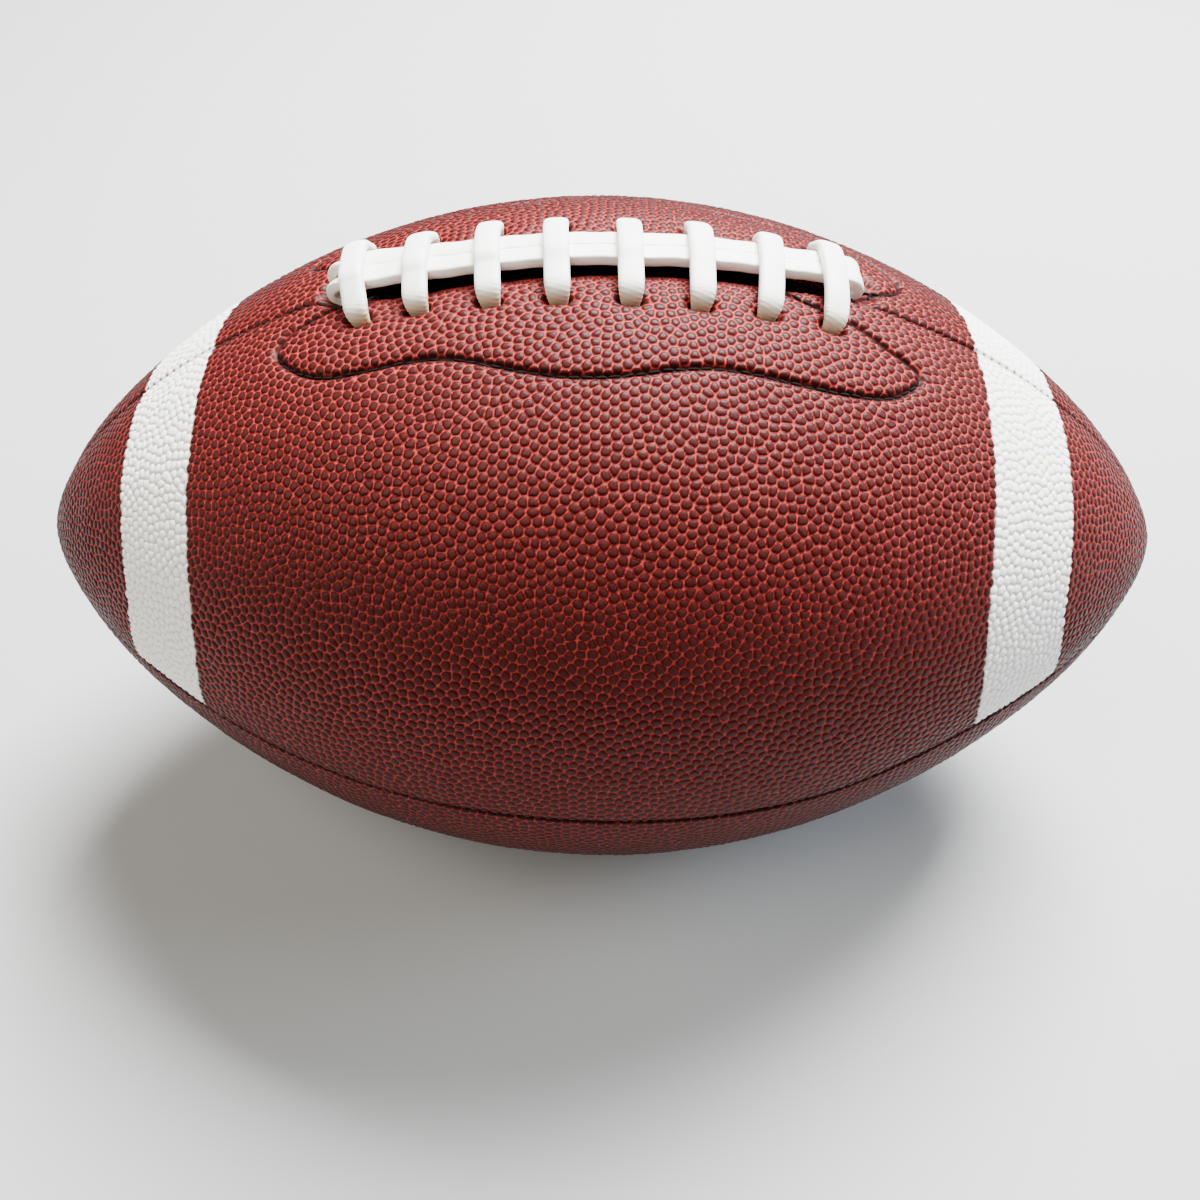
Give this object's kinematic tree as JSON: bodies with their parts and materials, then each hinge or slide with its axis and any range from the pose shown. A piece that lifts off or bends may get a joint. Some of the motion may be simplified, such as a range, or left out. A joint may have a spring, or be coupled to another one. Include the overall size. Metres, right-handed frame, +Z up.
{
  "type": "american football",
  "caption": "Prolate leather ball, sewn from panels round a bladder and closed by a flat lace over its top seam, with a white stripe near each end.",
  "frame": {"origin": "lowest point of the belly, straight under the ball's middle, where it rests on a flat floor with the lace on top", "axes": "+X along the ball from tip to tip, +Z up through the lace, -Y towards the front panel"},
  "size_m": [0.2888, 0.1684, 0.1735],
  "materials": {
    "leather": "pebbled, satin",
    "stripe": "painted over the pebbles, satin",
    "lining": "woven, bonded",
    "facing": "smooth, matt",
    "tongue": "smooth, matt",
    "bladder": "smooth",
    "valve_rubber": "smooth",
    "lace": "coated, soft",
    "thread": "waxed"
  },
  "bodies": {
    "root": {"panel_lace_front": "leather", "panel_lace_back": "leather", "panel_belly_front": "leather", "panel_belly_back": "leather", "stripe_front_left": "stripe", "stripe_front_right": "stripe", "stripe_back_left": "stripe", "stripe_back_right": "stripe", "lining_lace_front": "lining", "lining_lace_back": "lining", "lining_belly_front": "lining", "lining_belly_back": "lining", "facing_front": "facing", "facing_back": "facing", "lace_tongue": "tongue", "bladder": "bladder", "valve_boot": "valve_rubber", "valve_core": "valve_rubber", "lace": "lace", "thread_lace_seam_left": "thread", "thread_lace_seam_right": "thread", "thread_front_seam": "thread", "thread_belly_seam": "thread", "thread_back_seam": "thread", "thread_facing_front": "thread", "thread_facing_back": "thread"}
  },
  "joints": []
}
